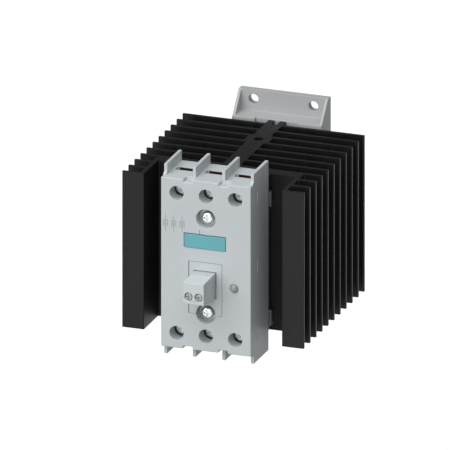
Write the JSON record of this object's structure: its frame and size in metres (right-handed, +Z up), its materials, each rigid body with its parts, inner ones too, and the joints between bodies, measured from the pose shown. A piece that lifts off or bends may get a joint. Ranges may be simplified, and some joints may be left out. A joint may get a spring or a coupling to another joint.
{
  "type": "solid state relay",
  "caption": "Three-pole solid state relay on a finned heat sink with a wall and rail bracket, screw terminals behind access holes and a pull-off control plug.",
  "frame": {"origin": "centre of the bracket's back plane, midway between its four holes", "axes": "+Z up along the extrusion and the relay's height, the relay's face looks along -Y, +X to the right seen from the front"},
  "size_m": [0.091, 0.1282, 0.103],
  "materials": {
    "black_anodised": "black anodised, fine satin",
    "bracket_plastic": "light grey moulded plastic",
    "zinc_steel": "bright zinc plated",
    "terminal_steel": "bright nickel plated",
    "plug_steel": "nickel plated",
    "latch_plastic": "dark grey moulded plastic",
    "spring_steel": "bright drawn wire",
    "base_metal": "milled, dull",
    "thermal_pad": "matt",
    "housing_plastic": "light grey, fine moulded texture",
    "cover_plastic": "light grey, fine moulded texture",
    "plug_plastic": "light grey, smooth moulded",
    "label_plastic": "petrol green, satin",
    "led_lens": "translucent, polished",
    "led_body": "clear amber epoxy",
    "board": "green solder resist",
    "black_epoxy": "moulded epoxy",
    "capacitor": "potted plastic case",
    "ceramic": "fired, matt",
    "silicon": "metallised silicon",
    "gold": "tinned and gold flashed contacts",
    "clamp_metal": "nickel plated steel",
    "copper": "dulled copper"
  },
  "bodies": {
    "relay": {"heat_sink": "black_anodised", "bracket": "bracket_plastic", "bracket_screws": "zinc_steel", "latch_spring": "spring_steel", "base_plate": "base_metal", "thermal_pad": "thermal_pad", "housing": "housing_plastic", "front_cover": "cover_plastic", "control_insert": "cover_plastic", "label_plate": "label_plastic", "led_lens": "led_lens", "status_led": "led_body", "circuit_board": "board", "optocouplers": "black_epoxy", "resistors": "black_epoxy", "capacitors": "capacitor", "ceramic_substrate": "ceramic", "thyristor_chips": "silicon", "gate_pins": "gold", "bar_top_left": "copper", "bar_top_middle": "copper", "bar_top_right": "copper", "bar_bottom_left": "copper", "bar_bottom_middle": "copper", "bar_bottom_right": "copper", "mounting_screws": "zinc_steel", "mounting_washers": "zinc_steel", "control_header": "plug_plastic", "header_pins": "gold"},
    "latch": {"rail_latch": "latch_plastic"},
    "plug": {"plug_body": "plug_plastic", "plug_contacts": "gold"},
    "plug_left_screw": {"plug_screw_left": "plug_steel"},
    "plug_right_screw": {"plug_screw_right": "plug_steel"},
    "plug_left_clamp": {"plug_clamp_left": "clamp_metal"},
    "plug_right_clamp": {"plug_clamp_right": "clamp_metal"},
    "top_left_clamp": {"clamp_top_left": "clamp_metal"},
    "top_left_screw": {"screw_top_left": "terminal_steel"},
    "top_middle_clamp": {"clamp_top_middle": "clamp_metal"},
    "top_middle_screw": {"screw_top_middle": "terminal_steel"},
    "top_right_clamp": {"clamp_top_right": "clamp_metal"},
    "top_right_screw": {"screw_top_right": "terminal_steel"},
    "bottom_left_clamp": {"clamp_bottom_left": "clamp_metal"},
    "bottom_left_screw": {"screw_bottom_left": "terminal_steel"},
    "bottom_middle_clamp": {"clamp_bottom_middle": "clamp_metal"},
    "bottom_middle_screw": {"screw_bottom_middle": "terminal_steel"},
    "bottom_right_clamp": {"clamp_bottom_right": "clamp_metal"},
    "bottom_right_screw": {"screw_bottom_right": "terminal_steel"}
  },
  "joints": [
    {"name": "top_left_clamp_travel", "type": "slide", "parent": "relay", "child": "top_left_clamp", "axis": [0, 1, 0], "range_m": [0, 0.0042]},
    {"name": "top_left_screw_turn", "type": "hinge", "parent": "top_left_clamp", "child": "top_left_screw", "pos_m": [-0.0147, -0.102, 0.0351], "axis": [0, 1, 0], "range_deg": [0, 2164.32]},
    {"name": "top_middle_clamp_travel", "type": "slide", "parent": "relay", "child": "top_middle_clamp", "axis": [0, 1, 0], "range_m": [0, 0.0042]},
    {"name": "top_middle_screw_turn", "type": "hinge", "parent": "top_middle_clamp", "child": "top_middle_screw", "pos_m": [0, -0.102, 0.0351], "axis": [0, 1, 0], "range_deg": [0, 2164.32]},
    {"name": "top_right_clamp_travel", "type": "slide", "parent": "relay", "child": "top_right_clamp", "axis": [0, 1, 0], "range_m": [0, 0.0042]},
    {"name": "top_right_screw_turn", "type": "hinge", "parent": "top_right_clamp", "child": "top_right_screw", "pos_m": [0.0147, -0.102, 0.0351], "axis": [0, 1, 0], "range_deg": [0, 2164.32]},
    {"name": "bottom_left_clamp_travel", "type": "slide", "parent": "relay", "child": "bottom_left_clamp", "axis": [0, 1, 0], "range_m": [0, 0.0042]},
    {"name": "bottom_left_screw_turn", "type": "hinge", "parent": "bottom_left_clamp", "child": "bottom_left_screw", "pos_m": [-0.0147, -0.102, -0.0351], "axis": [0, 1, 0], "range_deg": [0, 2164.32]},
    {"name": "bottom_middle_clamp_travel", "type": "slide", "parent": "relay", "child": "bottom_middle_clamp", "axis": [0, 1, 0], "range_m": [0, 0.0042]},
    {"name": "bottom_middle_screw_turn", "type": "hinge", "parent": "bottom_middle_clamp", "child": "bottom_middle_screw", "pos_m": [0, -0.102, -0.0351], "axis": [0, 1, 0], "range_deg": [0, 2164.32]},
    {"name": "bottom_right_clamp_travel", "type": "slide", "parent": "relay", "child": "bottom_right_clamp", "axis": [0, 1, 0], "range_m": [0, 0.0042]},
    {"name": "bottom_right_screw_turn", "type": "hinge", "parent": "bottom_right_clamp", "child": "bottom_right_screw", "pos_m": [0.0147, -0.102, -0.0351], "axis": [0, 1, 0], "range_deg": [0, 2164.32]},
    {"name": "plug_pull", "type": "slide", "parent": "relay", "child": "plug", "axis": [0, -1, 0], "range_m": [0, 0.014]},
    {"name": "plug_left_screw_turn", "type": "hinge", "parent": "plug", "child": "plug_left_screw", "pos_m": [-0.00294, -0.126, -0.0099], "axis": [0, 1, 0], "range_deg": [0, 1523.04]},
    {"name": "plug_left_clamp_travel", "type": "slide", "parent": "plug", "child": "plug_left_clamp", "axis": [0, -1, 0], "range_m": [0, 0.0019]},
    {"name": "plug_right_screw_turn", "type": "hinge", "parent": "plug", "child": "plug_right_screw", "pos_m": [0.00214, -0.126, -0.0099], "axis": [0, 1, 0], "range_deg": [0, 1523.04]},
    {"name": "plug_right_clamp_travel", "type": "slide", "parent": "plug", "child": "plug_right_clamp", "axis": [0, -1, 0], "range_m": [0, 0.0019]},
    {"name": "rail_latch_pull", "type": "slide", "parent": "relay", "child": "latch", "axis": [0, 0, -1], "range_m": [0, 0.0035], "stiffness_N_per_m": 500, "springref_m": -0.003, "deforming": ["latch_spring"]}
  ],
  "couplings": [
    {"joint": "top_left_screw_turn", "follows": "top_left_clamp_travel", "rad_per_m": 8976},
    {"joint": "top_middle_screw_turn", "follows": "top_middle_clamp_travel", "rad_per_m": 8976},
    {"joint": "top_right_screw_turn", "follows": "top_right_clamp_travel", "rad_per_m": 8976},
    {"joint": "bottom_left_screw_turn", "follows": "bottom_left_clamp_travel", "rad_per_m": 8976},
    {"joint": "bottom_middle_screw_turn", "follows": "bottom_middle_clamp_travel", "rad_per_m": 8976},
    {"joint": "bottom_right_screw_turn", "follows": "bottom_right_clamp_travel", "rad_per_m": 8976},
    {"joint": "plug_left_screw_turn", "follows": "plug_left_clamp_travel", "rad_per_m": 13963},
    {"joint": "plug_right_screw_turn", "follows": "plug_right_clamp_travel", "rad_per_m": 13963}
  ]
}
